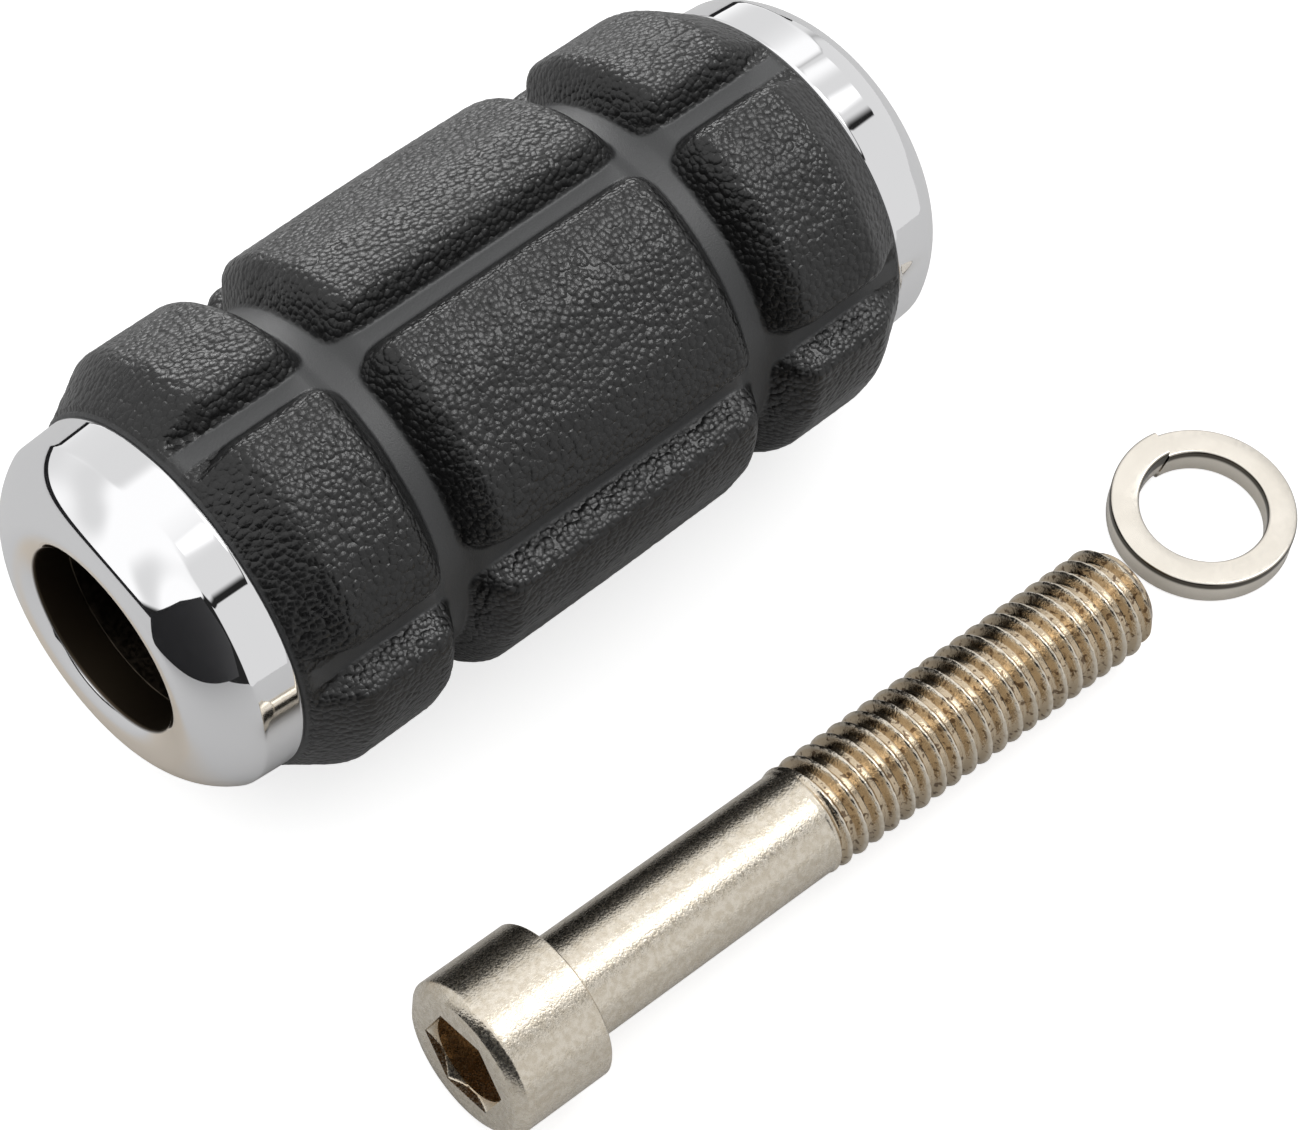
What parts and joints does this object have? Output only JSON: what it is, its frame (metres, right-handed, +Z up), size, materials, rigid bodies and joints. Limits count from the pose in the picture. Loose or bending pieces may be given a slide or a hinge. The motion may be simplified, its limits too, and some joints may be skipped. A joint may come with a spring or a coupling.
{
  "type": "motorcycle foot peg kit",
  "caption": "Round rubber-covered foot peg with chrome end caps, its socket head screw and a split lock washer laid beside it.",
  "frame": {"origin": "on the peg's axis, at its inner end face, where the clearance hole opens", "axes": "+X along the peg's axis from the inner end face to the outer end with the counterbore; +Y across, towards the loose screw; +Z up, away from the ground that the peg, screw and washer lie on"},
  "size_m": [0.0774, 0.0554, 0.0308],
  "materials": {
    "chrome_cap": "polished",
    "core_steel": "bare, dull",
    "sleeve_rubber": "grained, matt",
    "screw_steel": "satin, warm",
    "washer_steel": "bright"
  },
  "bodies": {
    "peg": {"outer_cap": "chrome_cap", "inner_cap": "chrome_cap", "core_tube": "core_steel", "rubber_sleeve": "sleeve_rubber"},
    "bolt": {"mounting_bolt": "screw_steel"},
    "washer": {"lock_washer": "washer_steel"}
  },
  "joints": [
    {"name": "bolt_lift", "type": "slide", "parent": "peg", "child": "bolt", "axis": [0, 0, 1], "range_m": [0, 0.06]},
    {"name": "washer_lift", "type": "slide", "parent": "peg", "child": "washer", "axis": [0, 0, 1], "range_m": [0, 0.06]}
  ]
}
